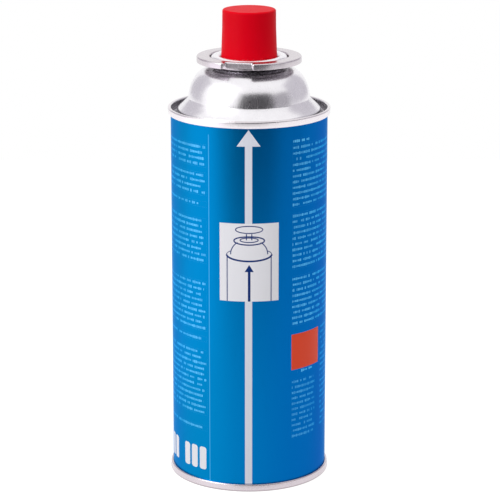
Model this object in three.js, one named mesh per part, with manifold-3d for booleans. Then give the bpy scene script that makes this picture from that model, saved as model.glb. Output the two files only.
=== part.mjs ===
// Fuel canister: a sealed tinplate can with a notched collar, a press valve and a push-on cap.
// Millimetres, +Z up. The origin is the middle of the base, and the front faces -Y.

import * as THREE from 'three';
import { mergeVertices } from 'three/addons/utils/BufferGeometryUtils.js';
import Module from 'manifold-3d';

const wasm = await Module();
wasm.setup();

// Clearances
const seatGap = 0.1; // between stacked pieces that bear on each other
const fitGap = 0.25; // between a piece and the bore or wall beside it
const restGap = 0.3; // under the cap's lower edge and round the collar

// Can body and its two double seams
const bodyRadius = 32.9;
const canHeight = 159.5; // over both seams
const seamProjection = 1.2; // how far a seam stands out from the body
const seamHeight = 3.1;
const seamThickness = 1.4;
const seamRounding = 0.5;
const countersinkDepth = 4; // from a seam's edge to the groove inside it

// Foot end, which domes into the can
const baseGrooveWidth = 2.2;
const baseDomeRise = 7;

// Top end: groove, upright skirt, cone, bulge and neck
const topGrooveWidth = 2.7;
const grooveRounding = 0.9;
const skirtHeight = 3.15;
const skirtRounding = 1.2;
const coneRun = 4.5;
const coneRise = 4.15;
const bulgeHeight = 13.15;
const bulgeSidePull = [0.035, 0.454]; // shares of the bulge's run and height, near its foot
const bulgeCrownPull = [0.316, 0.92]; // the same, near its crown
const neckRadius = 14.6;
const neckWall = 0.9;
const neckHeight = 3.2; // from the shoulder to the bead's centre
const shoulderWidth = 1.4;
const beadRadius = 1;

// Mounting cup, rolled over the neck bead
const cupSheet = 0.45;
const cupGasketThickness = 0.4;
const rimSkirt = 1.1; // how far the rolled rim reaches below the bead's centre
const swageDepth = 0.9; // the crimp that locks the cup below the bead
const swageHeight = 2.4;
const swageDrop = 2.05; // from the bead's centre to the crimp's deepest ring
const wellDepth = 6.6; // from the rim's top to the floor of the well
const wellRounding = 0.6;
const pedestalRadius = 5.1;
const pedestalReach = 2; // how far the pedestal stands above the rim's top
const pedestalRounding = 0.8;

// Notched collar, clenched under the cup's rim
const collarSheet = 0.6;
const collarWidth = 5.43; // flat face, from the rim's edge to the collar's edge
const collarDepth = 2.7;
const collarRounding = 0.7;
const collarDrop = 0.3; // the collar's face lies this much below the rim's top
const clenchReach = 1.3; // how far the collar's foot reaches in under the rim
const notchWidth = 11.6;
const notchDepth = 3.6;
const notchRelief = 1.5; // rounding of the notch's two lower corners
const notchAngle = THREE.MathUtils.degToRad(-13.3); // from the front, towards -X

// Valve: housing, gasket, stem and spring
const stemRadius = 2;
const stemReach = 6.6; // how far the stem stands above the pedestal
const stemRounding = 0.35;
const stemBore = 1;
const meteringHole = 0.4;
const shoulderHeight = 2;
const spigotLength = 2.5;
const stemGasketThickness = 1;
const housingWall = 1;
const housingDepth = 14.5; // from the gasket to the housing's floor
const housingRounding = 0.5;
const tailRadius = 1.4;
const tailBore = 0.7;
const tailLength = 6;
const springWire = 0.7;
const springTurns = 4;

// Pick-up tube, bent towards the notch
const tubeWall = 0.8;
const tubeDrop = 15; // from the housing to the middle of the bend
const tubeBend = 6;
const tubeReach = 21;
const channelGap = 0.5;

// Push-on cap
const capHeight = 19; // above the rim's top
const capWall = 1.3;
const capRoof = 1.2;
const capTaper = 0.7;
const capWaistTaper = 0.08;
const capWaistDrop = 7.7; // from the cap's top down to where its flare begins
const capRounding = 0.8;
const capFootChamfer = 0.6;

// Facets round each kind of piece
const shellFacets = 40;
const valveFacets = 20;
const roundingStep = THREE.MathUtils.degToRad(45); // largest turn between two points of a rounding
const rollStep = THREE.MathUtils.degToRad(38); // the same, on the bead, its gasket and the rim

// Sizes that follow from the can's own
const seamRadius = bodyRadius + seamProjection;
const chuckRadius = seamRadius - seamThickness;
const grooveZ = canHeight - countersinkDepth;
const skirtRadius = chuckRadius - topGrooveWidth;
const coneFootZ = grooveZ + skirtHeight;
const bulgeRadius = skirtRadius - coneRun;
const bulgeZ = coneFootZ + coneRise;
const shoulderZ = bulgeZ + bulgeHeight;
const shoulderRadius = neckRadius + shoulderWidth;
const beadZ = shoulderZ + neckHeight;
const beadCircle = neckRadius - neckWall / 2;

// Sizes that follow from the cup's fit on the bead
const rimRoll = beadRadius + seatGap + cupGasketThickness + seatGap + cupSheet;
const rimRadius = beadCircle + rimRoll;
const wellRadius = beadCircle - rimRoll;
const rimTopZ = beadZ + rimRoll;
const wellFloorZ = rimTopZ - wellDepth;
const pedestalTopZ = rimTopZ + pedestalReach;
const swageZ = beadZ - swageDrop;

// Sizes that follow from the collar's seat round the rim
const collarBore = rimRadius + restGap;
const collarRadius = collarBore + collarWidth;
const collarTopZ = rimTopZ - collarDrop;
const collarFootZ = collarTopZ - collarDepth;
const clenchZ = beadZ - rimSkirt - restGap;
const notchRadius = collarRadius - notchDepth;

// Sizes that follow from the pedestal's inside
const stemGasketRadius = pedestalRadius - cupSheet - fitGap;
const stemGasketTopZ = pedestalTopZ - cupSheet - seatGap;
const housingTopZ = stemGasketTopZ - stemGasketThickness - seatGap;
const housingRadius = stemGasketRadius;
const housingFootZ = housingTopZ - housingDepth;
const chamberRadius = housingRadius - housingWall;
const chamberFloorZ = housingFootZ + housingWall;
const stemShoulderRadius = chamberRadius - fitGap;
const stemShoulderFootZ = housingTopZ - shoulderHeight;
const stemTipZ = pedestalTopZ + stemReach;
const springRadius = chamberRadius - fitGap - springWire / 2;
const spigotRadius = springRadius - springWire / 2 - fitGap;
const stemHoleRadius = stemRadius + fitGap;

// Sizes that follow from the tube's push fit on the housing's tail
const tubeBore = tailRadius + seatGap;
const tubeRadius = tubeBore + tubeWall;
const tubeTopZ = housingFootZ - seatGap;
const tubeRunZ = housingFootZ - tubeDrop;
const pocketFloorZ = housingFootZ - restGap;

// Sizes that follow from the cap's fit in the well
const capTopZ = rimTopZ + capHeight;
const capFootZ = wellFloorZ + restGap;
const capFootRadius = wellRadius - fitGap;
const capTopRadius = capFootRadius - capTaper;
const capWaistRadius = capTopRadius + capWaistTaper;

// Finishes
const printedTinplate = new THREE.MeshStandardMaterial({ color: 0x0673b4, roughness: 0.28, metalness: 0.3 });
const brightTinplate = new THREE.MeshStandardMaterial({ color: 0xcfccd2, roughness: 0.3, metalness: 0.9 });
const redPlastic = new THREE.MeshStandardMaterial({ color: 0xdb0420, roughness: 0.35, metalness: 0 });
const naturalPlastic = new THREE.MeshStandardMaterial({ color: 0xe6e2d6, roughness: 0.5, metalness: 0 });
const blackRubber = new THREE.MeshStandardMaterial({ color: 0x24211f, roughness: 0.8, metalness: 0 });
const springSteel = new THREE.MeshStandardMaterial({ color: 0xb9bcc0, roughness: 0.25, metalness: 1 });

// Points of an arc round a centre, from one angle to another in degrees
function arc(radius, height, size, fromDegrees, toDegrees) {
  const from = THREE.MathUtils.degToRad(fromDegrees);
  const sweep = THREE.MathUtils.degToRad(toDegrees) - from;
  const steps = Math.ceil(Math.abs(sweep) / rollStep);
  const points = [];
  for (let i = 0; i <= steps; i += 1) {
    const angle = from + (sweep * i) / steps;
    points.push(new THREE.Vector2(radius + size * Math.cos(angle), height + size * Math.sin(angle)));
  }
  return points;
}

// An outline through corners given as [radius, height, rounding]
function outline(corners) {
  const points = [];
  corners.forEach(([radius, height, rounding = 0], i) => {
    const corner = new THREE.Vector2(radius, height);
    if (rounding === 0) {
      points.push(corner);
      return;
    }
    const before = new THREE.Vector2(corners[i - 1][0], corners[i - 1][1]).sub(corner);
    const after = new THREE.Vector2(corners[i + 1][0], corners[i + 1][1]).sub(corner);
    const opening = Math.acos(before.clone().normalize().dot(after.clone().normalize()));
    const room = 0.5 * Math.min(before.length(), after.length());
    const setback = Math.min(rounding / Math.tan(opening / 2), room);
    const size = setback * Math.tan(opening / 2);
    const start = before.clone().setLength(setback).add(corner);
    const bisector = before.clone().normalize().add(after.clone().normalize());
    const centre = bisector.setLength(Math.hypot(setback, size)).add(corner);
    const turn = Math.PI - opening;
    const sense = Math.sign(after.x * before.y - after.y * before.x);
    const steps = Math.max(1, Math.ceil(turn / roundingStep));
    for (let step = 0; step <= steps; step += 1) {
      points.push(start.clone().rotateAround(centre, (sense * turn * step) / steps));
    }
  });
  return points;
}

// A closed section of pressed sheet: its face line, and that line moved right by the thickness
function sheetSection(face, thickness) {
  const back = face.map((point, i) => {
    const into = point.clone().sub(face[Math.max(i - 1, 0)]);
    const out = face[Math.min(i + 1, face.length - 1)].clone().sub(point);
    if (i === 0) into.copy(out);
    if (i === face.length - 1) out.copy(into);
    const normalIn = new THREE.Vector2(into.y, -into.x).normalize();
    const normalOut = new THREE.Vector2(out.y, -out.x).normalize();
    const mitre = normalIn.clone().add(normalOut).normalize();
    return mitre.multiplyScalar(thickness / mitre.dot(normalOut)).add(point);
  });
  return [...back, ...face.slice().reverse(), back[0]];
}

// A geometry with only its positions, seams welded and flat pole triangles dropped
function welded(source) {
  const bare = source.clone();
  bare.deleteAttribute('normal');
  bare.deleteAttribute('uv');
  const merged = mergeVertices(bare, 1e-4);
  const corners = merged.index.array;
  const kept = [];
  for (let i = 0; i < corners.length; i += 3) {
    const [a, b, c] = corners.slice(i, i + 3);
    if (a !== b && b !== c && c !== a) kept.push(a, b, c);
  }
  merged.setIndex(kept);
  return merged;
}

// A turned form about the Z axis
function turned(section, facets) {
  return welded(new THREE.LatheGeometry(section, facets)).rotateX(Math.PI / 2);
}

// A round rod or tube along a path, solid where the bore is 0
function swept(path, radius, bore, sides, steps) {
  const section = new THREE.Shape();
  section.absarc(0, 0, radius, 0, 2 * Math.PI);
  if (bore > 0) {
    const hole = new THREE.Path();
    hole.absarc(0, 0, bore, 0, 2 * Math.PI, true);
    section.holes.push(hole);
  }
  const settings = { steps, extrudePath: path, curveSegments: sides / 2, bevelEnabled: false };
  return welded(new THREE.ExtrudeGeometry(section, settings));
}

// The solid that a closed geometry bounds, for joining and cutting
function solidOf(geometry) {
  const vertProperties = new Float32Array(geometry.attributes.position.array);
  const triVerts = new Uint32Array(geometry.index.array);
  return new wasm.Manifold(new wasm.Mesh({ numProp: 3, vertProperties, triVerts }));
}

// The geometry of a joined or cut solid
function geometryOf(solid) {
  const { vertProperties, triVerts } = solid.getMesh();
  const geometry = new THREE.BufferGeometry();
  geometry.setAttribute('position', new THREE.BufferAttribute(vertProperties, 3));
  geometry.setIndex(new THREE.BufferAttribute(triVerts, 1));
  return geometry;
}

// Foot of the can, from the axis outwards: the inward dome and the groove inside the seam
function canFoot() {
  const domeRadius = chuckRadius - baseGrooveWidth;
  const sphere = (domeRadius ** 2 + baseDomeRise ** 2) / (2 * baseDomeRise);
  const edge = THREE.MathUtils.radToDeg(Math.acos(domeRadius / sphere));
  const centreZ = countersinkDepth + baseDomeRise - sphere;
  const rings = 5;
  const dome = [];
  for (let i = 0; i < rings; i += 1) {
    const angle = THREE.MathUtils.degToRad(90 - ((90 - edge) * i) / rings);
    dome.push(new THREE.Vector2(sphere * Math.cos(angle), centreZ + sphere * Math.sin(angle)));
  }
  dome[0].x = 0;
  const groove = outline([
    [domeRadius, countersinkDepth],
    [chuckRadius, countersinkDepth, grooveRounding],
    [chuckRadius, 0, seamRounding / 2],
    [seamRadius, 0, seamRounding],
    [seamRadius, seamHeight, seamRounding],
    [bodyRadius, seamHeight],
  ]);
  return [...dome, ...groove];
}

// Top of the can up to the shoulder: seam, groove, skirt, cone and bulge
function canTop() {
  const lower = outline([
    [bodyRadius, canHeight - seamHeight],
    [seamRadius, canHeight - seamHeight, seamRounding],
    [seamRadius, canHeight, seamRounding],
    [chuckRadius, canHeight, seamRounding],
    [chuckRadius, grooveZ, grooveRounding],
    [skirtRadius, grooveZ, grooveRounding],
    [skirtRadius, coneFootZ, skirtRounding],
    [bulgeRadius, bulgeZ],
  ]);
  const run = bulgeRadius - shoulderRadius;
  const pulls = [[0, 0], bulgeSidePull, bulgeCrownPull, [1, 1]];
  const bulge = new THREE.CubicBezierCurve(...pulls.map(([inward, upward]) => (
    new THREE.Vector2(bulgeRadius - inward * run, bulgeZ + upward * bulgeHeight)
  )));
  return [...lower, ...bulge.getPoints(8).slice(1)];
}

// Neck bead and the pocket that takes the cup and the valve housing
function canNeck() {
  const spread = THREE.MathUtils.radToDeg(Math.asin(neckWall / 2 / beadRadius));
  const pocketRadius = neckRadius - neckWall;
  const pocketZ = wellFloorZ - cupSheet - restGap;
  const housingPocket = housingRadius + fitGap;
  return [
    new THREE.Vector2(neckRadius, shoulderZ + shoulderWidth / 4),
    ...arc(beadCircle, beadZ, beadRadius, spread - 90, 270 - spread),
    new THREE.Vector2(pocketRadius, pocketZ),
    new THREE.Vector2(housingPocket, pocketZ),
    new THREE.Vector2(housingPocket, pocketFloorZ),
    new THREE.Vector2(0, pocketFloorZ),
  ];
}

// The bent tube's line, from a height on the axis to a reach towards the notch
function tubeLine(topZ, reach) {
  const outward = new THREE.Vector3(Math.sin(notchAngle), -Math.cos(notchAngle), 0);
  const at = (distance, height) => outward.clone().multiplyScalar(distance).setZ(height);
  const line = new THREE.CurvePath();
  line.add(new THREE.LineCurve3(at(0, topZ), at(0, tubeRunZ + tubeBend)));
  line.add(new THREE.QuadraticBezierCurve3(
    at(0, tubeRunZ + tubeBend),
    at(0, tubeRunZ),
    at(tubeBend, tubeRunZ),
  ));
  line.add(new THREE.LineCurve3(at(tubeBend, tubeRunZ), at(reach, tubeRunZ)));
  return line;
}

// Sealed can with the pocket and the channel that the valve and its tube fill
function can() {
  const body = solidOf(turned([...canFoot(), ...canTop(), ...canNeck()], shellFacets));
  const channelLine = tubeLine(pocketFloorZ + channelGap, tubeReach + channelGap);
  const channel = solidOf(swept(channelLine, tubeRadius + channelGap, 0, 12, 16));
  return geometryOf(body.subtract(channel));
}

// Mounting cup: pedestal, well, crimp and rolled rim, all one pressed sheet
function valveCup() {
  const well = outline([
    [stemHoleRadius, pedestalTopZ],
    [pedestalRadius, pedestalTopZ, pedestalRounding],
    [pedestalRadius, wellFloorZ, wellRounding],
    [wellRadius, wellFloorZ, wellRounding],
    [wellRadius, swageZ - swageHeight / 2, cupSheet],
    [wellRadius + swageDepth, swageZ, cupSheet],
    [wellRadius, swageZ + swageHeight / 2, cupSheet],
    [wellRadius, beadZ],
  ]);
  const rim = arc(beadCircle, beadZ, rimRoll, 180, 0).slice(1);
  const rimEdge = new THREE.Vector2(rimRadius, beadZ - rimSkirt);
  return turned(sheetSection([...well, ...rim, rimEdge], cupSheet), shellFacets);
}

// Sealing ring pressed between the bead and the cup's rim
function cupGasket() {
  const inner = beadRadius + seatGap;
  const face = arc(beadCircle, beadZ, inner + cupGasketThickness, 165, 15);
  return turned(sheetSection(face, cupGasketThickness), shellFacets);
}

// Collar ring with its keying notch, pressed in from the edge
function notchedCollar() {
  const face = outline([
    [collarBore - clenchReach, clenchZ],
    [collarBore, clenchZ, collarSheet / 2],
    [collarBore, collarTopZ, collarRounding],
    [collarRadius, collarTopZ, collarRounding],
    [collarRadius, collarFootZ],
  ]);
  const ring = solidOf(turned(sheetSection(face, collarSheet), shellFacets));
  const envelope = solidOf(turned(outline([
    [0, collarFootZ],
    [collarRadius, collarFootZ],
    [collarRadius, collarTopZ, collarRounding],
    [0, collarTopZ],
  ]), shellFacets));
  const wallDepth = notchDepth + collarSheet;
  const walls = new THREE.BoxGeometry(notchWidth + 2 * collarSheet, wallDepth, collarDepth);
  walls.translate(0, -(collarRadius - wallDepth / 2), collarTopZ - collarDepth / 2);
  const pocket = solidOf(welded(walls.rotateZ(notchAngle))).intersect(envelope);
  return geometryOf(ring.add(pocket).subtract(notchCutter()));
}

// The notch's opening: a straight slot, flared at the foot by its rounded lower corners
function notchCutter() {
  const half = notchWidth / 2;
  const above = collarTopZ + notchDepth;
  const below = collarFootZ - notchDepth;
  const mouth = new THREE.Shape();
  mouth.moveTo(-half, above);
  mouth.lineTo(-half, collarFootZ + notchRelief);
  mouth.absarc(-half - notchRelief, collarFootZ + notchRelief, notchRelief, 0, -Math.PI / 2, true);
  mouth.lineTo(-half - notchRelief, below);
  mouth.lineTo(half + notchRelief, below);
  mouth.absarc(half + notchRelief, collarFootZ + notchRelief, notchRelief, -Math.PI / 2, -Math.PI, true);
  mouth.lineTo(half, above);
  const settings = { depth: 2 * notchDepth, curveSegments: 4, bevelEnabled: false };
  const slot = new THREE.ExtrudeGeometry(mouth, settings);
  slot.rotateX(Math.PI / 2).translate(0, -notchRadius, 0).rotateZ(notchAngle);
  return solidOf(welded(slot));
}

// Moulded housing: open at the top, with a tail that the tube pushes onto
function valveHousing() {
  const tailZ = housingFootZ - tailLength;
  return turned(outline([
    [tailBore, tailZ],
    [tailRadius, tailZ],
    [tailRadius, housingFootZ],
    [housingRadius, housingFootZ, housingRounding],
    [housingRadius, housingTopZ],
    [chamberRadius, housingTopZ],
    [chamberRadius, chamberFloorZ],
    [tailBore, chamberFloorZ],
    [tailBore, tailZ],
  ]), valveFacets);
}

// Flat rubber washer round the stem
function stemGasket() {
  const footZ = stemGasketTopZ - stemGasketThickness;
  const bore = stemRadius + seatGap;
  return turned(outline([
    [bore, footZ],
    [stemGasketRadius, footZ],
    [stemGasketRadius, stemGasketTopZ],
    [bore, stemGasketTopZ],
    [bore, footZ],
  ]), valveFacets);
}

// Hollow stem with its shoulder, spring spigot and cross hole
function valveStem() {
  const boreFloorZ = stemShoulderFootZ + shoulderHeight;
  const body = solidOf(turned(outline([
    [0, stemShoulderFootZ - spigotLength],
    [spigotRadius, stemShoulderFootZ - spigotLength, stemRounding],
    [spigotRadius, stemShoulderFootZ],
    [stemShoulderRadius, stemShoulderFootZ],
    [stemShoulderRadius, housingTopZ],
    [stemRadius, housingTopZ],
    [stemRadius, stemTipZ, stemRounding],
    [stemBore, stemTipZ],
    [stemBore, boreFloorZ],
    [0, boreFloorZ],
  ]), valveFacets));
  const hole = new THREE.CylinderGeometry(meteringHole, meteringHole, 2 * stemRadius + 1, 12);
  hole.rotateZ(Math.PI / 2).translate(0, 0, stemGasketTopZ - stemGasketThickness / 2);
  return geometryOf(body.subtract(solidOf(welded(hole))));
}

// Return spring: open turns between two closed end turns
function stemSpring() {
  const closedPitch = 1.2 * springWire;
  const footZ = chamberFloorZ + seatGap + springWire / 2;
  const headZ = stemShoulderFootZ - seatGap - springWire / 2;
  const turns = springTurns + 2;
  const openRise = headZ - footZ - 2 * closedPitch;
  const coil = new THREE.Curve();
  coil.getPoint = (share, target = new THREE.Vector3()) => {
    const turn = share * turns;
    const closed = Math.min(turn, 1) + Math.max(turn - turns + 1, 0);
    const open = THREE.MathUtils.clamp((turn - 1) / springTurns, 0, 1);
    const angle = 2 * Math.PI * turn;
    const height = footZ + closed * closedPitch + open * openRise;
    return target.set(springRadius * Math.cos(angle), springRadius * Math.sin(angle), height);
  };
  return swept(coil, springWire / 2, 0, 6, turns * 9);
}

// Push-on cap: a hollow, slightly flared moulding that stands in the cup's well
function protectiveCap() {
  const waistZ = capTopZ - capWaistDrop;
  return turned(outline([
    [0, capTopZ - capRoof],
    [capTopRadius - capWall, capTopZ - capRoof, capRounding],
    [capWaistRadius - capWall, waistZ],
    [capFootRadius - capWall, capFootZ],
    [capFootRadius - capFootChamfer, capFootZ],
    [capFootRadius, capFootZ + capFootChamfer],
    [capWaistRadius, waistZ],
    [capTopRadius, capTopZ, capRounding],
    [0, capTopZ],
  ]), shellFacets);
}

// Each piece in the order that it is assembled
const canister = new THREE.Group();
const pieces = [
  ['can', can(), printedTinplate],
  ['cup_gasket', cupGasket(), blackRubber],
  ['valve_cup', valveCup(), brightTinplate],
  ['notched_collar', notchedCollar(), brightTinplate],
  ['pick_up_tube', swept(tubeLine(tubeTopZ, tubeReach), tubeRadius, tubeBore, 10, 20), naturalPlastic],
  ['valve_housing', valveHousing(), naturalPlastic],
  ['stem_spring', stemSpring(), springSteel],
  ['valve_stem', valveStem(), naturalPlastic],
  ['stem_gasket', stemGasket(), blackRubber],
  ['protective_cap', protectiveCap(), redPlastic],
];
for (const [name, geometry, finish] of pieces) {
  geometry.computeVertexNormals();
  const mesh = new THREE.Mesh(geometry, finish);
  mesh.name = name;
  canister.add(mesh);
}

export default canister;
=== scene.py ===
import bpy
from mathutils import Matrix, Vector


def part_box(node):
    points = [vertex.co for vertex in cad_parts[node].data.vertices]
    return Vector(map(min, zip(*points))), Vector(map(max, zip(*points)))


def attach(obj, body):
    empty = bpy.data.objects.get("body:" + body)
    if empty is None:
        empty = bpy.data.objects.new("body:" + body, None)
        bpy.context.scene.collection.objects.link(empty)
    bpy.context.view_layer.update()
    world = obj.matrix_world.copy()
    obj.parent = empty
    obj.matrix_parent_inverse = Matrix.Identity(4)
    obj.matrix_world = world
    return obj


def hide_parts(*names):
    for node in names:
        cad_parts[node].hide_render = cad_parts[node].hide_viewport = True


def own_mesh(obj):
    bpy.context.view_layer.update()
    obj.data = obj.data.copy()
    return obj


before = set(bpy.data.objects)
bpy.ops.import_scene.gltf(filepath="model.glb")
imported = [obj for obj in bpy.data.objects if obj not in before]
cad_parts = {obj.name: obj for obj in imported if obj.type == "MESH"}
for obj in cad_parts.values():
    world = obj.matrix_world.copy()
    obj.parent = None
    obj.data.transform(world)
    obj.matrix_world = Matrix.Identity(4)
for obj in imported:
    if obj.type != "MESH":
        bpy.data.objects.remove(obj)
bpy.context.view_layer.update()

import math

import bmesh
import bpy
from mathutils import Vector

# Fuel canister: a printed tinplate can with drawn ends, a notched collar, a press valve and a red cap.
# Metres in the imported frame, +Z up, front towards -Y. Sections are written in millimetres.

MM = 0.001

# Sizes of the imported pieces, in millimetres
can_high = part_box("can")[1] / MM
cup_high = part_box("valve_cup")[1] / MM
collar_low, collar_high = (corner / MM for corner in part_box("notched_collar"))
stem_low, stem_high = (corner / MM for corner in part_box("valve_stem"))
cap_low, cap_high = (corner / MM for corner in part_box("protective_cap"))

# Can body and its two double seams
seam_radius = can_high.x
seam_projection = 1.2
seam_height = 3.1
seam_thickness = 1.4
seam_rounding = 0.7
seam_taper = 0.3
seam_edge = seam_radius + 0.066
body_radius = seam_radius - seam_projection
body_sheet = 0.15
can_height = 159.5
countersink = 4.0
chuck_radius = seam_radius - seam_thickness
end_sheet = 0.18
groove_rounding = 0.9
wall_margin = 1.2

# Free edge of a seam, where it meets the wall and turns in under the seam
lip_gap = 0.06
lip_overhang = 0.05
lip_rounding = 0.15
lip_tuck = 0.05
lip_return = 0.5

# Foot end
foot_groove = 2.2
foot_dome_rise = 7.0
foot_dome_rounding = 0.8

# Top end
top_groove = 2.7
skirt_radius = chuck_radius - top_groove
groove_z = can_height - countersink
cone_foot_z = groove_z + 3.15
bulge_radius = skirt_radius - 4.5
bulge_z = cone_foot_z + 4.15
bulge_height = 13.15
bulge_side_pull = (0.035, 0.454)
bulge_crown_pull = (0.316, 0.92)
bulge_steps = 28
skirt_rounding = 1.2
shoulder_z = bulge_z + bulge_height
neck_radius = 14.6
neck_wall = 0.9
shoulder_radius = neck_radius + 1.4
neck_fillet = 1.2
neck_fillet_rise = 1.35
neck_fillet_degrees = (250, 185)
bead_radius = 1.0
bead_circle = neck_radius - neck_wall / 2
bead_z = shoulder_z + 3.2

# Mounting cup
cup_sheet = 0.45
rim_radius = cup_high.x
rim_roll = rim_radius - bead_circle
rim_top_z = bead_z + rim_roll
rim_skirt = 1.1
well_radius = bead_circle - rim_roll
well_floor_z = rim_top_z - 6.6
well_rounding = 0.9
swage_z = bead_z - 2.05
swage_depth = 0.9
swage_height = 2.4
pedestal_radius = 5.1
pedestal_top_z = cup_high.z
pedestal_rounding = 0.8
stem_hole = 2.25

# Collar
collar_radius = max(collar_high.x, collar_high.y)
collar_top_z = collar_high.z
collar_foot_z = collar_top_z - 2.7
collar_bore = rim_radius + 0.3
collar_sheet = 0.6
collar_rounding = 0.7
collar_foot_rounding = 0.2
collar_fold_rounding = 0.1
clench_z = collar_low.z + collar_sheet
clench_reach = 1.3
clench_rounding = 0.3
clench_edge_rounding = 0.15
clench_fold_rounding = 0.4
notch_width = 11.6
notch_radius = collar_radius - 3.6
notch_corner = 1.0
notch_inner_corner = 0.6
notch_relief = 1.5
notch_angle = math.radians(-13.3)

# Stem
stem_radius = 2.0
stem_bore = 1.0
stem_shoulder_radius = stem_high.x
stem_shoulder_top_z = 181.55
stem_shoulder_foot_z = stem_shoulder_top_z - 2.0
stem_spigot_radius = 2.2
stem_spigot_rounding = 0.35
stem_tip_z = stem_high.z
stem_tip_rounding = 0.4
stem_mouth_rounding = 0.2
stem_edge = 0.1

# Cap
cap_foot_radius = cap_high.x
cap_foot_z = cap_low.z
cap_top_z = cap_high.z - 0.0005
cap_top_radius = cap_foot_radius - 0.7
cap_waist_radius = cap_top_radius + 0.08
cap_waist_z = cap_top_z - 7.7
cap_waist_rounding = 8.0
cap_wall = 1.3
cap_roof = 1.2
cap_rounding = 0.8
cap_foot_chamfer = 0.6
cap_foot_rounding = 0.2
cap_inner_rounding = 0.25

# Lapped side seam at the back, with its weld nuggets
lap_margin = 0.4
lap_degrees = (-1.35, -1.2, -0.4, 0.4, 1.2, 1.35)
lap_rises = (-0.1, 0.07, 0.09, 0.09, 0.07, -0.1)
weld_pitch = 0.8
nugget_lift = 0.06
nugget_half_width = 0.6
nugget_half_depth = 0.09
nugget_half_height = weld_pitch * 0.62

# Fineness. An edge keeps a row of points at hold from it, so that its shading stays at the edge
facets = 192
rounding_step = math.radians(11)
hold = 0.12
slack = 0.01
weld_distance = 0.002
collar_steps = 300
collar_crowding = 1.6
collar_lead = 6.0


class Wire:
    """A socket of a finish. Arithmetic on wires adds Math nodes."""

    def __init__(self, finish, socket):
        self.finish = finish
        self.socket = socket

    def __add__(self, other):
        return self.finish.maths("ADD", self, other)

    def __radd__(self, other):
        return self.finish.maths("ADD", other, self)

    def __sub__(self, other):
        return self.finish.maths("SUBTRACT", self, other)

    def __rsub__(self, other):
        return self.finish.maths("SUBTRACT", other, self)

    def __mul__(self, other):
        return self.finish.maths("MULTIPLY", self, other)

    def __rmul__(self, other):
        return self.finish.maths("MULTIPLY", other, self)

    def __truediv__(self, other):
        return self.finish.maths("DIVIDE", self, other)

    def __abs__(self):
        return self.finish.maths("ABSOLUTE", self)


class Finish:
    """A node material under construction."""

    def __init__(self, name):
        self.material = bpy.data.materials.new(name)
        self.material.use_nodes = True
        self.tree = self.material.node_tree
        self.tree.nodes.clear()
        place = self.node("ShaderNodeTexCoord", output="Object")
        self.place = self.node("ShaderNodeVectorMath", {"operation": "SCALE"}, {0: place, "Scale": 1 / MM})
        self.x = self.node("ShaderNodeSeparateXYZ", {}, {0: self.place}, "X")
        self.y = self.node("ShaderNodeSeparateXYZ", {}, {0: self.place}, "Y")
        self.z = self.node("ShaderNodeSeparateXYZ", {}, {0: self.place}, "Z")

    def node(self, kind, settings=None, sockets=None, output=0):
        """Adds a node with its settings, then the values or links of its sockets."""
        made = self.tree.nodes.new(kind)
        for name, value in (settings or {}).items():
            setattr(made, name, value)
        for key, value in (sockets or {}).items():
            if isinstance(value, Wire):
                self.tree.links.new(value.socket, made.inputs[key])
            else:
                made.inputs[key].default_value = value
        return Wire(self, made.outputs[output]) if made.outputs else made

    def maths(self, operation, *values):
        return self.node("ShaderNodeMath", {"operation": operation}, dict(enumerate(values)))

    def larger(self, first, second):
        return self.maths("MAXIMUM", first, second)

    def rise(self, value, low, high):
        """0 below low, 1 above high, smooth between."""
        settings = {"interpolation_type": "SMOOTHSTEP"}
        return self.node("ShaderNodeMapRange", settings, {"Value": value, "From Min": low, "From Max": high})

    def within(self, value, low, high, soft):
        return self.rise(value, low - soft, low + soft) * (1 - self.rise(value, high - soft, high + soft))

    def mix(self, factor, first, second):
        settings = {"data_type": "RGBA"}
        return self.node("ShaderNodeMix", settings, {0: factor, 6: first, 7: second}, 2)

    def noise(self, scale, detail=2.0, stretch=(1, 1, 1), rough=0.5):
        """Noise over the piece, with scale in repeats for each millimetre."""
        place = self.node("ShaderNodeVectorMath", {"operation": "MULTIPLY"}, {0: self.place, 1: stretch})
        sockets = {"Vector": place, "Scale": scale, "Detail": detail, "Roughness": rough}
        return self.node("ShaderNodeTexNoise", {}, sockets)

    def chance(self, first, second):
        """A fixed random number from 0 to 1 for each pair of whole numbers."""
        pair = self.node("ShaderNodeCombineXYZ", {}, {"X": first, "Y": second})
        return self.node("ShaderNodeTexWhiteNoise", {"noise_dimensions": "2D"}, {"Vector": pair})

    def bump(self, height, strength, distance):
        sockets = {"Height": height, "Strength": strength, "Distance": distance * MM}
        return self.node("ShaderNodeBump", {}, sockets)

    def done(self, sockets):
        surface = self.node("ShaderNodeBsdfPrincipled", {}, sockets)
        self.node("ShaderNodeOutputMaterial", {}, {"Surface": surface})
        return self.material


def shade(red, green, blue):
    """A colour given in sRGB from 0 to 255, as the linear colour that nodes take."""
    linear = []
    for value in (red, green, blue):
        share = value / 255
        linear.append(share / 12.92 if share <= 0.04045 else ((share + 0.055) / 1.055) ** 2.4)
    return (*linear, 1.0)


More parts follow.
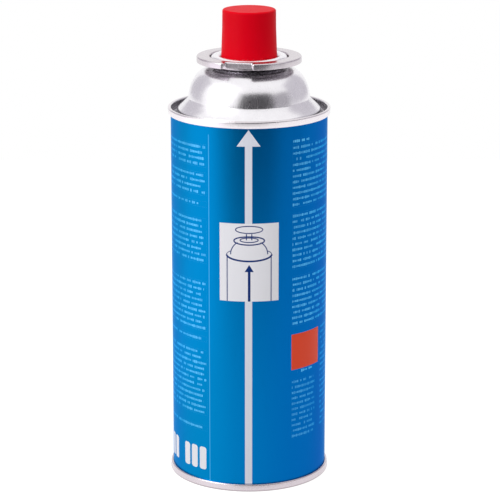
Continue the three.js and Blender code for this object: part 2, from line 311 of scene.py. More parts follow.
# Print on the can's wall, in millimetres: s runs round the wall from the front, z runs up
ink_blue = shade(0, 110, 180)
ink_edge_tint = shade(120, 196, 250)
# Painted light and shade on the front's blue: lighter and more cyan at the lit left, darker at the shaded
# right
blue_painted_lit = shade(0, 126, 184)
blue_painted_shaded = shade(0, 98, 172)
ink_words = shade(96, 190, 240)
ink_white = shade(250, 249, 255)
ink_silver = shade(236, 238, 250)
ink_line = shade(24, 52, 120)
ink_orange = shade(255, 88, 56)
# Where the painted light turns from lit to shaded across the front, and where it fades out round the sides
painted_light_s = (-32.0, 26.0)
painted_light_fade_s = (45.0, 90.0)
print_soft = 0.07
arrow_s = -0.25
arrow_tip_z = 155.9
arrow_head_z = 149.0
arrow_head_half = 4.9
arrow_half = 1.5
arrow_foot_z = 3.3
arrow_edge = (0.2, 0.4)
panel_half = 12.45
panel_z = (83.5, 116.7)
fold_line_s = -17.4
fold_line_top_z = 153.0
fold_line_width = 0.45
fold_line_strength = 0.35
square_s = (18.7, 35.7)
square_z = (52.0, 67.5)
bars_s = (-47.0, -18.6)
bars_z = (7.5, 17.5)
bar_pitch = 4.73
bar_width = 3.5
bar_corner = 1.1
bar_left_out = 2.0
seam_strip_half = 3.4

# Line drawing on the panel. An ellipse is (middle z, half width, half height), a pair is a soft step
drawing_line = 0.42
drawn_wall_s = 9.2
drawn_wall_z = (80, 102.6)
drawn_seam = (103.4, 9.4, 2.7)
drawn_seam_front_line = 0.75
drawn_seam_back_line = 0.3
drawn_seam_split_z = (103.3, 103.5)
drawn_dome = (103.6, 7.7, 6.6)
drawn_dome_side = (7.3, 7.4)
drawn_dome_foot_z = (103.5, 103.6)
drawn_dome_head_z = (108.6, 108.8)
drawn_collar = (109.4, 6.3, 1.75)
drawn_collar_line = 0.55
drawn_bore = (109.7, 3.7, 0.95)
drawn_socket = (114.1, 5.6, 1.5)
drawn_stem_s = 1.1
drawn_stem_z = (109.7, 112.3)
drawn_shaft_width = 1.1
drawn_shaft_z = (80, 97.0)
drawn_tip_z = 99.2
drawn_head_slope = 0.62
drawn_head_foot_z = (96.1, 96.2)

# Tones of bare tinplate, painted shade on it, and where they begin and end
bare_tin = shade(214, 212, 216)
# A grey painted as shade in the top seam's groove and on faces that look down under the collar
painted_shade_grey = shade(116, 113, 118)
seam_grey = shade(232, 226, 230)
foot_grey = shade(208, 198, 203)
# Painted shade on the foot seam's lowest edge, which faces down
foot_edge_shade_grey = shade(150, 138, 142)
seam_tone_step = 0.2
# Painted shade on the walls of the groove inside the top seam, and where it lies
groove_shade_strength = 0.6
groove_shade_radius = (skirt_radius, chuck_radius + 0.3)
groove_shade_z = (groove_z - 1.0, can_height - 0.3)
foot_tone_z = (3.4, 3.8)
# Height over which the painted shade on the foot seam's lowest edge fades out
foot_edge_shade_z = (0.1, 1.0)
# Painted shade on faces that look down at the collar's height, and where it lies
underside_shade_z = (176.0, 177.2)
underside_shade_radius = (20.5, 21.2)
underside_shade_facing = (-0.45, 0.1)

# Small print, as rows of dashes
line_pitch = 2.4
line_height = 1.05
letter_pitch = 0.92
letter_least_height = 0.32
letter_more_height = 0.26
letter_space = (0.74, 0.84)
letter_space_depth = 0.8
word_gap = (0.155, 0.16)
row_shift = 40
ragged_end = 3.2

# Paragraphs as (left s, right s, middle of the first line, lines, strength)
left_words = (-61.0, -18.6)
right_words = (18.9, 60.0)
paragraphs = [(*left_words, top, lines, 0.85) for top, lines in (
    (147.5, 4), (135.6, 4), (123.5, 1), (116.3, 8), (89.4, 9), (65.4, 1), (59.4, 12), (26.1, 1),
)]
paragraphs += [(*right_words, top, lines, 0.7) for top, lines in (
    (147.3, 11), (118.5, 10), (91.5, 9),
)]
paragraphs += [
    (18.9, 30.0, 150.0, 1, 1.0),
    (37.7, 60.0, 66.8, 19, 0.6),
    (18.9, 34.0, 46.6, 11, 0.45),
    (22.0, 32.0, 50.9, 1, 0.8),
]


def greeked_words(finish, s, z):
    """Rows of plain dashes that stand for printed words, from 0 to 1.

    A part of one added to a number given to chance picks another series of chances.
    """
    top = 0.0
    right = 0.0
    weight = 0.0
    for left_s, right_s, top_z, lines, strength in paragraphs:
        across = finish.within(s, left_s, right_s, print_soft)
        foot_z = top_z - (lines - 0.5) * line_pitch
        block = across * finish.within(z, foot_z, top_z + line_pitch / 2, print_soft)
        top = block * top_z + top
        right = block * right_s + right
        weight = block * strength + weight
    row = (top - z) / line_pitch + 0.5
    line = finish.maths("FLOOR", row)
    height = abs(row - line - 0.5) * line_pitch
    shifted = s / letter_pitch + row_shift * finish.chance(line, top)
    letter = finish.maths("FLOOR", shifted)
    more_height = letter_more_height * finish.chance(letter + 0.75, line + top)
    half_height = line_height * (letter_least_height + more_height)
    body = 1 - finish.rise(height - half_height, -print_soft, print_soft)
    body = body * (1 - letter_space_depth * finish.rise(shifted - letter, *letter_space))
    gap = finish.rise(finish.chance(letter, line + top), *word_gap)
    heavy = 0.5 + 0.5 * finish.chance(letter + 0.5, line - top)
    ragged = finish.chance(line + 0.25, top) * ragged_end
    ends = finish.rise(right - s - ragged, 0.0, 2 * print_soft)
    return body * gap * heavy * ends * weight


def ring(finish, s, z, centre, half_width, half_height, line_width):
    """An ellipse drawn with a line of even width."""
    across = s / half_width
    up = (z - centre) / half_height
    reach = finish.maths("SQRT", across * across + up * up)
    slope_s = across / half_width
    slope_z = up / half_height
    slope = finish.maths("SQRT", slope_s * slope_s + slope_z * slope_z)
    distance = abs(reach - 1) * reach / finish.larger(slope, 0.001)
    return 1 - finish.rise(distance, line_width / 2 - print_soft, line_width / 2 + print_soft)


def stroke(finish, distance, line_width):
    return 1 - finish.rise(abs(distance), line_width / 2 - print_soft, line_width / 2 + print_soft)


def canister_drawing(finish, s, z):
    """A plain line drawing of a canister's top, with an arrow that points up at it."""
    side = abs(s)
    walls = stroke(finish, side - drawn_wall_s, drawing_line) * finish.within(z, *drawn_wall_z, print_soft)
    behind = finish.rise(z, *drawn_seam_split_z)
    seam = ring(finish, s, z, *drawn_seam, drawn_seam_front_line) * (1 - behind)
    seam_back = ring(finish, s, z, *drawn_seam, drawn_seam_back_line) * behind
    dome = ring(finish, s, z, *drawn_dome, drawing_line)
    dome = dome * finish.rise(z, *drawn_dome_foot_z) * (1 - finish.rise(z, *drawn_dome_head_z))
    collar = ring(finish, s, z, *drawn_collar, drawn_collar_line)
    bore = ring(finish, s, z, *drawn_bore, drawing_line)
    socket = ring(finish, s, z, *drawn_socket, drawing_line)
    stem = stroke(finish, side - drawn_stem_s, drawing_line) * finish.within(z, *drawn_stem_z, print_soft)
    shaft = stroke(finish, s, drawn_shaft_width) * finish.within(z, *drawn_shaft_z, print_soft)
    head = finish.rise((drawn_tip_z - z) * drawn_head_slope - side, -print_soft, print_soft)
    head = head * finish.rise(z, *drawn_head_foot_z)
    lines = seam_back * finish.rise(side, *drawn_dome_side)
    for part in (walls, seam, dome, collar, bore, socket, stem, shaft, head):
        lines = finish.larger(lines, part)
    return lines


def upright_bars(finish, s, z):
    """Plain white blocks with round corners, in two groups."""
    cell = (s - bars_s[0]) / bar_pitch
    index = finish.maths("FLOOR", cell)
    across = abs(cell - index - 0.5) * bar_pitch - bar_width / 2 + bar_corner
    up = abs(z - sum(bars_z) / 2) - (bars_z[1] - bars_z[0]) / 2 + bar_corner
    over_s = finish.larger(across, 0.0)
    over_z = finish.larger(up, 0.0)
    reach = finish.maths("SQRT", over_s * over_s + over_z * over_z)
    bar = 1 - finish.rise(reach, bar_corner - print_soft, bar_corner + print_soft)
    blank = finish.maths("COMPARE", index, bar_left_out, 0.1)
    return bar * (1 - blank) * finish.within(s, *bars_s, print_soft)


def fine_scratches(finish):
    """Sparse hairlines that only roughen the finish."""
    web = finish.noise(0.35, 3.0, (1, 1, 0.12))
    return stroke(finish, (web - 0.5) * 12, 0.16)


def printed_tinplate():
    """Blue printed tinplate, with the arrow, the panel, the small print, the bare strip behind and painted
    light across the front's blue.
    """
    finish = Finish("printed_tinplate")
    turn = finish.maths("ARCTAN2", finish.x, 0 - finish.y)
    s = turn * body_radius
    z = finish.z
    grain = finish.noise(0.6, 3.0)
    # Painted light and shade: the front's blue is lighter at the left and darker at the right, fading to the
    # plain blue behind
    painted_light_across = finish.rise(s, *painted_light_s)
    front = 1 - finish.rise(abs(s), *painted_light_fade_s)
    blue = finish.mix(front, ink_blue, finish.mix(painted_light_across, blue_painted_lit, blue_painted_shaded))
    colour = finish.mix(greeked_words(finish, s, z), blue, ink_words)
    above_fold = finish.rise(z, fold_line_top_z, fold_line_top_z + 0.2)
    fold = stroke(finish, s - fold_line_s, fold_line_width) * (1 - above_fold)
    colour = finish.mix(fold * fold_line_strength, colour, ink_words)
    along = s - arrow_s
    shaft = stroke(finish, along, 2 * arrow_half)
    shaft = shaft * finish.within(z, arrow_foot_z, arrow_head_z + 0.5, print_soft)
    slope = arrow_head_half / (arrow_tip_z - arrow_head_z)
    inside = (arrow_tip_z - z) * slope - abs(along)
    head = finish.rise(inside, -print_soft, print_soft)
    head = head * finish.rise(z, arrow_head_z - 0.1, arrow_head_z + 0.1)
    arrow = finish.larger(shaft, head)
    from_side = finish.larger(arrow_half - abs(along), inside * 0.8)
    edge = 1 - finish.rise(from_side, *arrow_edge)
    colour = finish.mix(arrow, colour, finish.mix(edge, ink_silver, ink_white))
    panel = finish.within(s, -panel_half, panel_half, print_soft) * finish.within(z, *panel_z, print_soft)
    colour = finish.mix(panel, colour, ink_white)
    drawing = canister_drawing(finish, s, z) * panel
    colour = finish.mix(drawing, colour, ink_line)
    square = finish.within(s, *square_s, print_soft) * finish.within(z, *square_z, print_soft)
    colour = finish.mix(square, colour, ink_orange)
    bars = upright_bars(finish, s, z)
    colour = finish.mix(bars, colour, ink_white)
    from_seam = math.pi * body_radius - abs(s)
    bare = 1 - finish.rise(from_seam, seam_strip_half - 0.1, seam_strip_half + 0.1)
    colour = finish.mix(bare, colour, bare_tin)
    pale = finish.larger(finish.larger(arrow, panel), finish.larger(bars, square))
    metallic = finish.larger(bare, 0.9 * (1 - pale))
    scratches = fine_scratches(finish)
    roughness = 0.3 + 0.04 * grain + 0.06 * scratches
    waves = finish.noise(0.045, 2.0, (1, 1, 0.4))
    height = 0.6 * waves + 0.05 * finish.noise(2.2, 3.0) - 0.04 * scratches
    return finish.done({
        "Base Color": colour,
        "Metallic": metallic,
        "Roughness": roughness,
        "Normal": finish.bump(height, 0.1, 0.25),
        "Specular IOR Level": 0.12,
        "Specular Tint": ink_edge_tint,
    })


def bright_tinplate(name, drawn_scale, gloss, underside_shade_strength, dark, light):
    """Bright drawn tinplate, with faint round drawing marks, a little mottling, and painted shade in the
    seam's groove, under the collar and on the foot's lowest edge.
    """
    finish = Finish(name)
    radius = finish.maths("SQRT", finish.x * finish.x + finish.y * finish.y)
    band = finish.node("ShaderNodeCombineXYZ", {}, {"X": radius * drawn_scale, "Y": finish.z * drawn_scale})
    marks = finish.node("ShaderNodeTexNoise", {}, {"Vector": band, "Scale": 1.0, "Detail": 3.0})
    mottle = finish.noise(0.28, 4.0)
    colour = finish.mix(mottle, dark, light)
    on_seam = finish.rise(radius, body_radius, body_radius + seam_tone_step)
    colour = finish.mix(on_seam, colour, seam_grey)
    # Painted shade in the groove inside the top seam
    groove_shade = finish.within(radius, *groove_shade_radius, 0.4) * finish.within(finish.z, *groove_shade_z, 0.3)
    colour = finish.mix(groove_shade * groove_shade_strength, colour, painted_shade_grey)
    on_foot = on_seam * (1 - finish.rise(finish.z, *foot_tone_z))
    colour = finish.mix(on_foot, colour, foot_grey)
    # Painted shade on the foot seam's lowest edge, which faces down
    colour = finish.mix(on_foot * (1 - finish.rise(finish.z, *foot_edge_shade_z)), colour, foot_edge_shade_grey)
    # Painted shade on faces that look down under the collar and the cup's rim
    facing = finish.node("ShaderNodeNewGeometry", {}, {}, "True Normal")
    up = finish.node("ShaderNodeSeparateXYZ", {}, {0: facing}, "Z")
    underside_shade = finish.rise(finish.z, *underside_shade_z) * (1 - finish.rise(radius, *underside_shade_radius))
    underside_shade = underside_shade * (1 - finish.rise(up, *underside_shade_facing)) * underside_shade_strength
    colour = finish.mix(underside_shade, colour, painted_shade_grey)
    scratches = fine_scratches(finish)
    roughness = gloss + 0.07 * (mottle - 0.5) + 0.05 * scratches
    height = 0.5 * marks + 0.35 * finish.noise(1.6, 3.0)
    return finish.done({
        "Base Color": colour,
        "Metallic": 1.0,
        "Roughness": roughness,
        "Normal": finish.bump(height, 0.08, 0.1),
    })


def red_plastic():
    finish = Finish("red_plastic")
    cloud = finish.noise(0.12, 3.0)
    colour = finish.mix(cloud, shade(224, 0, 22), shade(230, 0, 30))
    flow = finish.noise(0.5, 2.0, (1, 1, 0.15))
    rub = fine_scratches(finish)
    roughness = 0.44 + 0.06 * cloud + 0.1 * rub
    height = 0.4 * finish.noise(3.0, 3.0) + 0.3 * flow
    return finish.done({
        "Base Color": colour,
        "Roughness": roughness,
        "Normal": finish.bump(height, 0.18, 0.08),
        "Specular IOR Level": 0.05,
        "Subsurface Weight": 0.1,
        "Subsurface Radius": (1.0, 0.12, 0.08),
        "Subsurface Scale": 0.0012,
    })


def natural_plastic():
    finish = Finish("natural_plastic")
    cloud = finish.noise(0.4, 3.0)
    return finish.done({
        "Base Color": finish.mix(cloud, shade(226, 221, 208), shade(238, 235, 226)),
        "Roughness": 0.42 + 0.1 * cloud,
        "Normal": finish.bump(finish.noise(4.0, 2.0), 0.15, 0.05),
        "Subsurface Weight": 0.2,
        "Subsurface Scale": 0.001,
    })


def black_rubber():
    finish = Finish("black_rubber")
    speckle = finish.noise(3.5, 4.0)
    return finish.done({
        "Base Color": finish.mix(speckle, shade(26, 25, 25), shade(48, 46, 45)),
        "Roughness": 0.72 + 0.15 * speckle,
        "Normal": finish.bump(speckle, 0.3, 0.06),
    })


def spring_steel():
    finish = Finish("spring_steel")
    drawn = finish.noise(2.5, 3.0, (1, 1, 6))
    return finish.done({
        "Base Color": finish.mix(drawn, shade(176, 180, 184), shade(206, 208, 210)),
        "Metallic": 1.0,
        "Roughness": 0.2 + 0.12 * drawn,
        "Normal": finish.bump(drawn, 0.2, 0.03),
    })


finishes = {
    "printed_tinplate": printed_tinplate(),
    "bright_tinplate": bright_tinplate(
        "bright_tinplate", drawn_scale=3.0, gloss=0.25, underside_shade_strength=0.55,
        dark=shade(238, 235, 240), light=shade(250, 248, 251),
    ),
    "collar_tinplate": bright_tinplate(
        "collar_tinplate", drawn_scale=1.2, gloss=0.26, underside_shade_strength=0.75,
        dark=shade(202, 194, 199), light=shade(220, 213, 218),
    ),
    "red_plastic": red_plastic(),
    "natural_plastic": natural_plastic(),
    "black_rubber": black_rubber(),
    "spring_steel": spring_steel(),
}


def outline(corners):
    """Points of a section through corners given as (radius, height, rounding), with held edges."""
    points = []
    for i, (radius, height, *size) in enumerate(corners):
        corner = Vector((radius, height))
        if not size:
            points.append(corner)
            continue
        before = Vector(corners[i - 1][:2]) - corner
        after = Vector(corners[i + 1][:2]) - corner
        opening = before.angle(after)
        room = 0.5 * min(before.length, after.length)
        setback = min(size[0] / math.tan(opening / 2), room)
        arm_length = setback * math.tan(opening / 2)
        start = corner + before.normalized() * setback
        middle = (before.normalized() + after.normalized()).normalized()
        centre = corner + middle * math.hypot(setback, arm_length)
        sense = 1 if after.x * before.y > after.y * before.x else -1
        steps = math.ceil((math.pi - opening) / rounding_step)
        if room > setback + hold:
            points.append(corner + before.normalized() * (setback + hold))
        arm = start - centre
        for step in range(steps + 1):
            turn = sense * (math.pi - opening) * step / steps
            points.append(centre + Vector((
                arm.x * math.cos(turn) - arm.y * math.sin(turn),
                arm.x * math.sin(turn) + arm.y * math.cos(turn),
            )))
        if room > setback + hold:
            points.append(corner + after.normalized() * (setback + hold))
    return points


def arc(radius, height, size, from_degrees, to_degrees):
    """Points of an arc round a centre."""
    start = math.radians(from_degrees)
    sweep = math.radians(to_degrees) - start
    steps = math.ceil(abs(sweep) / rounding_step)
    turns = [start + sweep * step / steps for step in range(steps + 1)]
    return [Vector((radius + size * math.cos(turn), height + size * math.sin(turn))) for turn in turns]


def moved_right(face, thickness):
    """A face line moved to its right by a sheet's thickness."""
    back = []
    for i, point in enumerate(face):
        into = point - face[max(i - 1, 0)]
        out = face[min(i + 1, len(face) - 1)] - point
        if i == 0:
            into = out
        if i == len(face) - 1:
            out = into
        normal_in = Vector((into.y, -into.x)).normalized()
        normal_out = Vector((out.y, -out.x)).normalized()
        mitre = (normal_in + normal_out).normalized()
        back.append(point + mitre * (thickness / mitre.dot(normal_out)))
    return back


def new_object(name, data):
    """A new object in the scene."""
    made = bpy.data.objects.new(name, data)
    bpy.context.scene.collection.objects.link(made)
    return made


def added(tree, kind, links=None, values=None, **settings):
    """Adds a node with its settings, links and values of its sockets, and gives its outputs."""
    made = tree.nodes.new(kind)
    for name, value in settings.items():
        setattr(made, name, value)
    for name, socket in (links or {}).items():
        tree.links.new(socket, made.inputs[name])
    for name, value in (values or {}).items():
        made.inputs[name].default_value = value
    return made.outputs


def growing_tree(name, inputs, result):
    """A Geometry Nodes tree with named inputs and one result, and the sockets that give the inputs."""
    tree = bpy.data.node_groups.new(name, "GeometryNodeTree")
    for label, kind in inputs.items():
        tree.interface.new_socket(label, in_out="INPUT", socket_type="NodeSocket" + kind)
    tree.interface.new_socket(result, in_out="OUTPUT", socket_type="NodeSocketGeometry")
    return tree, added(tree, "NodeGroupInput")


def finished(tree, geometry, given, result):
    """Ends a growing tree with smooth shading and its finish."""
    smooth = added(tree, "GeometryNodeSetShadeSmooth", {"Geometry": geometry})
    links = {"Geometry": smooth["Geometry"], "Material": given["Finish"]}
    finish = added(tree, "GeometryNodeSetMaterial", links)
    added(tree, "NodeGroupOutput", {result: finish["Geometry"]})
    return tree


def turned_tree():
    """Geometry Nodes that turn a section about the Z axis into a closed, smooth shell."""
    tree, given = growing_tree("turned_shell", {
        "Section": "Geometry", "Facets": "Int", "Axis radius": "Float", "Weld": "Float", "Finish": "Material",
    }, "Shell")
    links = {"Resolution": given["Facets"], "Radius": given["Axis radius"]}
    circle = added(tree, "GeometryNodeCurvePrimitiveCircle", links)
    section = added(tree, "GeometryNodeMeshToCurve", {"Mesh": given["Section"]})
    links = {"Curve": circle["Curve"], "Profile Curve": section["Curve"]}
    sweep = added(tree, "GeometryNodeCurveToMesh", links)
    links = {"Geometry": sweep["Mesh"], "Distance": given["Weld"]}
    weld = added(tree, "GeometryNodeMergeByDistance", links)
    return finished(tree, weld["Geometry"], given, "Shell")


def grown(name, start, tree, values):
    """A plain mesh object made by a Geometry Nodes tree from a starting mesh and named values."""
    source = new_object(name + "_source", start)
    grow = source.modifiers.new("grow", "NODES")
    grow.node_group = tree
    for item in tree.interface.items_tree:
        if item.in_out == "INPUT" and item.name in values:
            grow[item.identifier] = values[item.name]
    ready = source.evaluated_get(bpy.context.evaluated_depsgraph_get())
    mesh = bpy.data.meshes.new_from_object(ready)
    bpy.data.objects.remove(source)
    return new_object(name, mesh)


def turned(name, section, finish, body, stands_for=()):
    """A turned piece from a section that runs anticlockwise, seen with the axis on the left."""
    axis_radius = 1.0
    corners = [((point.x - axis_radius) * MM, -point.y * MM, 0) for point in reversed(section)]
    start = bpy.data.meshes.new(name + "_section")
    start.from_pydata(corners, [(i, i + 1) for i in range(len(corners) - 1)], [])
    piece = grown(name, start, turned_shell, {
        "Facets": facets,
        "Axis radius": axis_radius * MM,
        "Weld": weld_distance * MM,
        "Finish": finishes[finish],
    })
    return placed(piece, body, stands_for)


def placed(piece, body, stands_for=()):
    """Gives a piece its body, and hides the nodes that it stands for."""
    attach(piece, body)
    if stands_for:
        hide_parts(*stands_for)
    return piece


turned_shell = turned_tree()


def printed_wall():
    """The can's body sheet, which ends inside both seams."""
    inner = body_radius - body_sheet
    foot_z = wall_margin
    head_z = can_height - wall_margin
    section = [Vector(corner) for corner in (
        (inner, foot_z),
        (body_radius, foot_z),
        (body_radius, foot_z + hold),
        (body_radius, head_z - hold),
        (body_radius, head_z),
        (inner, head_z),
        (inner, head_z - hold),
        (inner, foot_z + hold),
        (inner, foot_z),
    )]
    return turned("printed_wall", section, "printed_tinplate", "canister", ["can"])


def foot_end():
    """The lower end: double seam, groove and inward dome."""
    dome_radius = chuck_radius - foot_groove
    sphere = (dome_radius ** 2 + foot_dome_rise ** 2) / (2 * foot_dome_rise)
    edge = math.degrees(math.acos(dome_radius / sphere))
    dome = arc(0, countersink + foot_dome_rise - sphere, sphere, 90, edge)
    dome[0].x = 0
    groove = outline([
        tuple(dome[-2]),
        (dome_radius, countersink, foot_dome_rounding),
        (chuck_radius, countersink, groove_rounding),
        (chuck_radius, 0, seam_rounding),
        (seam_edge, 0, seam_rounding),
        (seam_radius - seam_taper, seam_height, seam_rounding),
        (body_radius + lip_gap, seam_height + lip_overhang, lip_rounding),
        (body_radius - lip_tuck, seam_height - lip_return),
    ])
    face = dome[:-1] + groove[1:]
    sheet_end = next(i for i, point in enumerate(face) if point.x > chuck_radius - slack)
    inner = moved_right(face[:sheet_end], -end_sheet)
    inner[0].x = 0
    section = face + list(reversed(inner))
    return turned("foot_end", section, "bright_tinplate", "canister")


def bulge_line():
    """The dome's side, from the cone up to the shoulder, as a smooth curve."""
    run = bulge_radius - shoulder_radius
    points = []
    for step in range(1, bulge_steps + 1):
        t = step / bulge_steps
        side = 3 * (1 - t) ** 2 * t
        crown = 3 * (1 - t) * t ** 2
        inward = side * bulge_side_pull[0] + crown * bulge_crown_pull[0] + t ** 3
        upward = side * bulge_side_pull[1] + crown * bulge_crown_pull[1] + t ** 3
        points.append(Vector((bulge_radius - inward * run, bulge_z + upward * bulge_height)))
    return points


def top_end():
    """The upper end: double seam, groove, skirt, cone, bulge, neck and bead."""
    seam = outline([
        (body_radius - lip_tuck, can_height - seam_height + lip_return),
        (body_radius + lip_gap, can_height - seam_height - lip_overhang, lip_rounding),
        (seam_radius - seam_taper, can_height - seam_height, seam_rounding),
        (seam_edge, can_height, seam_rounding),
        (chuck_radius, can_height, seam_rounding),
        (chuck_radius, groove_z, groove_rounding),
        (skirt_radius, groove_z, groove_rounding),
        (skirt_radius, cone_foot_z, skirt_rounding),
        (bulge_radius, bulge_z),
    ])
    spread = math.degrees(math.asin(neck_wall / 2 / bead_radius))
    fillet = arc(neck_radius + neck_fillet, shoulder_z + neck_fillet_rise, neck_fillet, *neck_fillet_degrees)
    bead = arc(bead_circle, bead_z, bead_radius, spread - 90, 270 - spread)
    bulge = bulge_line()[:-1]
    groove_top_z = groove_z + groove_rounding
    dome = [point for point in seam if point.x < chuck_radius + slack] + bulge
    dome = [point for point in dome if point.y < groove_top_z + slack or point.x < skirt_radius + slack]
    under = [Vector((neck_radius - neck_wall, shoulder_z)), *reversed(moved_right(dome, -end_sheet))]
    section = seam + bulge + fillet + bead + under + [seam[0]]
    return turned("top_end", section, "bright_tinplate", "canister")


def mounting_cup():
    """Pedestal, well, crimp and rolled rim, all one pressed sheet."""
    well = outline([
        (stem_hole, pedestal_top_z),
        (stem_hole + hold, pedestal_top_z),
        (pedestal_radius, pedestal_top_z, pedestal_rounding),
        (pedestal_radius, well_floor_z, well_rounding),
        (well_radius, well_floor_z, well_rounding),
        (well_radius, swage_z - swage_height / 2, cup_sheet),
        (well_radius + swage_depth, swage_z, cup_sheet),
        (well_radius, swage_z + swage_height / 2, cup_sheet),
        (well_radius, bead_z),
    ])
    face = well + arc(bead_circle, bead_z, rim_roll, 180, 0)[1:] + [Vector((rim_radius, bead_z - rim_skirt))]
    back = moved_right(face, cup_sheet)
    section = back + list(reversed(face)) + [back[0]]
    return turned("mounting_cup", section, "bright_tinplate", "canister", ["valve_cup"])


def stem():
    """The hollow valve stem, with its shoulder and its spring spigot."""
    section = outline([
        (0, stem_low.z),
        (stem_spigot_radius, stem_low.z, stem_spigot_rounding),
        (stem_spigot_radius, stem_shoulder_foot_z, stem_edge),
        (stem_shoulder_radius, stem_shoulder_foot_z, stem_edge),
        (stem_shoulder_radius, stem_shoulder_top_z, stem_edge),
        (stem_radius, stem_shoulder_top_z, stem_edge),
        (stem_radius, stem_tip_z, stem_tip_rounding),
        (stem_bore, stem_tip_z, stem_mouth_rounding),
        (stem_bore, stem_shoulder_top_z, stem_edge),
        (0, stem_shoulder_top_z),
    ])
    return turned("hollow_stem", section, "natural_plastic", "stem", ["valve_stem"])


def red_cap():
    """The hollow, slightly flared push-on cap."""
    section = outline([
        (0, cap_top_z - cap_roof),
        (cap_top_radius - cap_wall, cap_top_z - cap_roof, cap_rounding),
        (cap_waist_radius - cap_wall, cap_waist_z, cap_waist_rounding),
        (cap_foot_radius - cap_wall, cap_foot_z, cap_inner_rounding),
        (cap_foot_radius - cap_foot_chamfer / 2, cap_foot_z, cap_foot_rounding),
        (cap_foot_radius, cap_foot_z + cap_foot_chamfer / 2, cap_foot_rounding),
        (cap_waist_radius, cap_waist_z, cap_waist_rounding),
        (cap_top_radius, cap_top_z, cap_rounding),
        (0, cap_top_z),
    ])
    return turned("red_cap", section, "red_plastic", "cap", ["protective_cap"])


def collar_plan():
    """Half of the collar's plan, from the notch's middle to the far side, closer spaced at the notch."""
    half = notch_width / 2
    reach = math.sqrt((collar_radius - notch_corner) ** 2 - (half + notch_corner) ** 2)
    mouth = math.atan2(reach, half + notch_corner)
    start = math.pi / 2 - mouth
    line = [Vector((0, notch_radius))]
    line += arc(half - notch_inner_corner, notch_radius + notch_inner_corner, notch_inner_corner, -90, 0)
    line += arc(half + notch_corner, reach, notch_corner, 180, math.degrees(mouth))
    for step in range(1, facets + 1):
        turn = start + (math.pi - start) * step / facets
        line.append(Vector((collar_radius * math.sin(turn), collar_radius * math.cos(turn))))
    lengths = [0.0]
    for before, after in zip(line, line[1:]):
        lengths.append(lengths[-1] + (after - before).length)
    spaced = []
    at = 0
    for step in range(collar_steps + 1):
        goal = lengths[-1] * (step / collar_steps) ** collar_crowding
        while at < len(line) - 2 and lengths[at + 1] < goal:
            at += 1
        share = min((goal - lengths[at]) / (lengths[at + 1] - lengths[at]), 1.0)
        spaced.append((line[at].lerp(line[at + 1], share), math.pi * goal / lengths[-1]))
    return spaced


def skirt_lift(point):
    """How much the skirt's foot rises at the notch's rounded lower corners."""
    beside = abs(point.x) - notch_width / 2
    if point.y < 0 or beside > notch_relief:
        return 0.0
    if beside < -slack:
        return notch_relief * max(0.0, 1 + beside / notch_inner_corner)
    return notch_relief - math.sqrt(notch_relief ** 2 - (notch_relief - max(beside, 0)) ** 2)


def notched_ring():
    """The collar: a flat ring with a pressed-in notch, rounded edges and a short skirt.

    The sections of the edge and the bore begin and end out in the flat, and those ends are dropped.
    """
    under_z = collar_top_z - collar_sheet
    edge = outline([
        (collar_lead, under_z),
        (collar_sheet, under_z, collar_fold_rounding),
        (collar_sheet, collar_foot_z, collar_foot_rounding),
        (0.0, collar_foot_z, collar_foot_rounding),
        (0.0, collar_top_z, collar_rounding),
        (collar_lead, collar_top_z),
    ])[1:-1]
    bore = outline([
        (collar_bore + collar_lead, collar_top_z),
        (collar_bore, collar_top_z, collar_rounding),
        (collar_bore, clench_z, clench_rounding),
        (collar_bore - clench_reach, clench_z, clench_edge_rounding),
        (collar_bore - clench_reach, clench_z - collar_sheet, clench_edge_rounding),
        (collar_bore + collar_sheet, clench_z - collar_sheet, clench_fold_rounding),
        (collar_bore + collar_sheet, under_z, collar_fold_rounding),
        (collar_bore + collar_lead, under_z),
    ])[1:-1]
    half_plan = collar_plan()
    plan = half_plan + [(Vector((-point.x, point.y)), -turn) for point, turn in reversed(half_plan[1:-1])]
    cosine = math.cos(notch_angle)
    sine = math.sin(notch_angle)
    skirt_top = collar_top_z - collar_rounding
    corners = []
    for i, (point, turn) in enumerate(plan):
        along = plan[(i + 1) % len(plan)][0] - plan[i - 1][0]
        inward = Vector((along.y, -along.x)).normalized()
        lift = skirt_lift(point)
        ring_points = []
        for depth, height in edge:
            share = min(max((skirt_top - height) / (skirt_top - collar_foot_z), 0.0), 1.0)
            ring_points.append((*(point + inward * depth), height + lift * share))
        ring_points += [(radius * math.sin(turn), radius * math.cos(turn), height) for radius, height in bore]
        for across, out, height in ring_points:
            corners.append((
                (across * cosine + out * sine) * MM,
                (across * sine - out * cosine) * MM,
                height * MM,
            ))
    around = len(edge) + len(bore)
    count = len(plan)
    faces = [
        (i * around + k, i * around + (k + 1) % around,
         (i + 1) % count * around + (k + 1) % around, (i + 1) % count * around + k)
        for i in range(count) for k in range(around)
    ]
    mesh = bpy.data.meshes.new("notched_ring")
    mesh.from_pydata(corners, [], faces)
    outward(mesh)
    mesh.shade_smooth()
    mesh.materials.append(finishes["collar_tinplate"])
    return placed(new_object("notched_ring", mesh), "canister", ["notched_collar"])


def outward(mesh):
    """Turns a closed mesh's faces outwards."""
    work = bmesh.new()
    work.from_mesh(mesh)
    bmesh.ops.recalc_face_normals(work, faces=work.faces)
    work.to_mesh(mesh)
    work.free()


